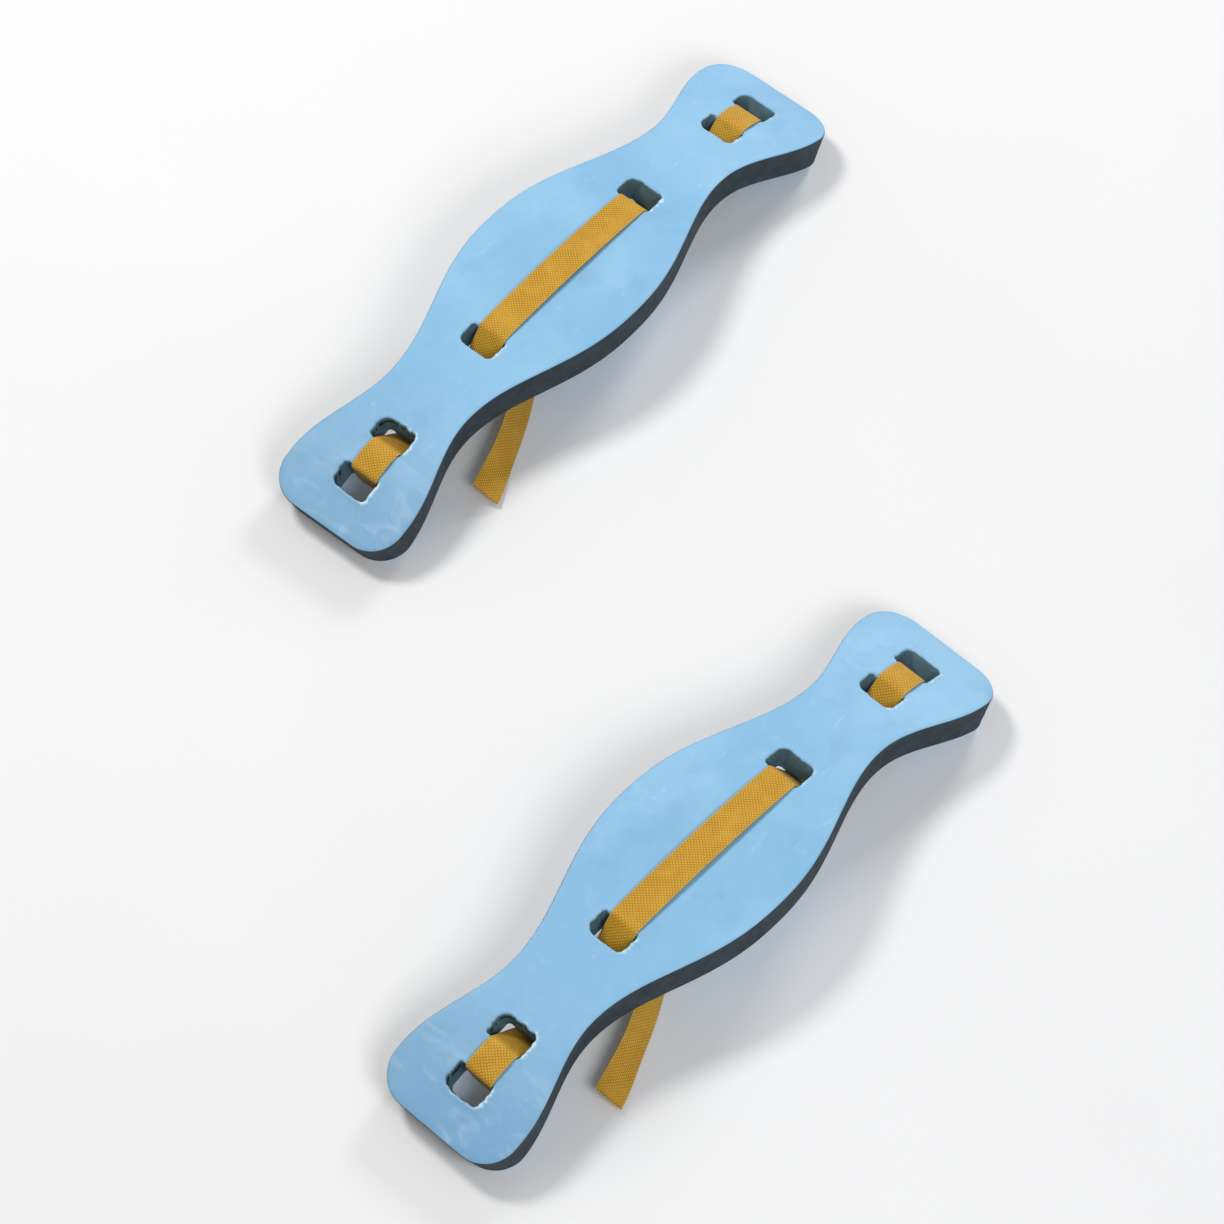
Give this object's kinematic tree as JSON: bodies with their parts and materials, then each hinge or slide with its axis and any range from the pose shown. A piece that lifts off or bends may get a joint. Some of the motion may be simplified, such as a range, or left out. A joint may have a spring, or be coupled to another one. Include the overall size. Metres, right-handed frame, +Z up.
{
  "type": "water ski pair",
  "caption": "Pair of arched foam water skis; webbing threads each board's slots and closes under it with a side-release buckle.",
  "frame": {"origin": "on the floor, under the middle of the pair's box", "axes": "+X along the skis from the end nearest the viewer to the far end, +Y across them, +Z up out of the boards' top faces"},
  "size_m": [1.0804, 0.6709, 0.0907],
  "materials": {
    "foam": "closed-cell foam skin, satin, faintly mottled",
    "webbing": "woven flat webbing, soft sheen",
    "thread": "twisted sewing thread",
    "buckle": "injection-moulded plastic, satin"
  },
  "bodies": {
    "ski_a_board": {"ski_a_foam_board": "foam", "ski_a_strap": "webbing", "ski_a_socket_strap": "webbing", "ski_a_bar_tack": "thread", "ski_a_buckle_socket": "buckle"},
    "ski_a_plug": {"ski_a_buckle_plug": "buckle", "ski_a_plug_strap": "webbing"},
    "ski_a_tail": {"ski_a_strap_tail": "webbing"},
    "ski_b_board": {"ski_b_foam_board": "foam", "ski_b_strap": "webbing", "ski_b_socket_strap": "webbing", "ski_b_bar_tack": "thread", "ski_b_buckle_socket": "buckle"},
    "ski_b_plug": {"ski_b_buckle_plug": "buckle", "ski_b_plug_strap": "webbing"},
    "ski_b_tail": {"ski_b_strap_tail": "webbing"}
  },
  "joints": [
    {"name": "ski_a_buckle_release", "type": "slide", "parent": "ski_a_board", "child": "ski_a_plug", "axis": [-1, 0, 0], "range_m": [0, 0.03], "deforming": ["ski_a_plug_strap"]},
    {"name": "ski_a_tail_swing", "type": "hinge", "parent": "ski_a_plug", "child": "ski_a_tail", "pos_m": [0.17886, 0.243, 0.011], "axis": [0, 0, 1], "range_deg": [-12, 12]},
    {"name": "ski_b_buckle_release", "type": "slide", "parent": "ski_b_board", "child": "ski_b_plug", "axis": [-0.9986, 0.0523, 0], "range_m": [0, 0.03], "deforming": ["ski_b_plug_strap"]},
    {"name": "ski_b_tail_swing", "type": "hinge", "parent": "ski_b_plug", "child": "ski_b_tail", "pos_m": [-0.22622, -0.24573, 0.011], "axis": [0, 0, 1], "range_deg": [-12, 12]},
    {"name": "ski_b_lift", "type": "slide", "parent": "ski_a_board", "child": "ski_b_board", "axis": [0, 0, 1], "range_m": [0, 0.15]}
  ]
}
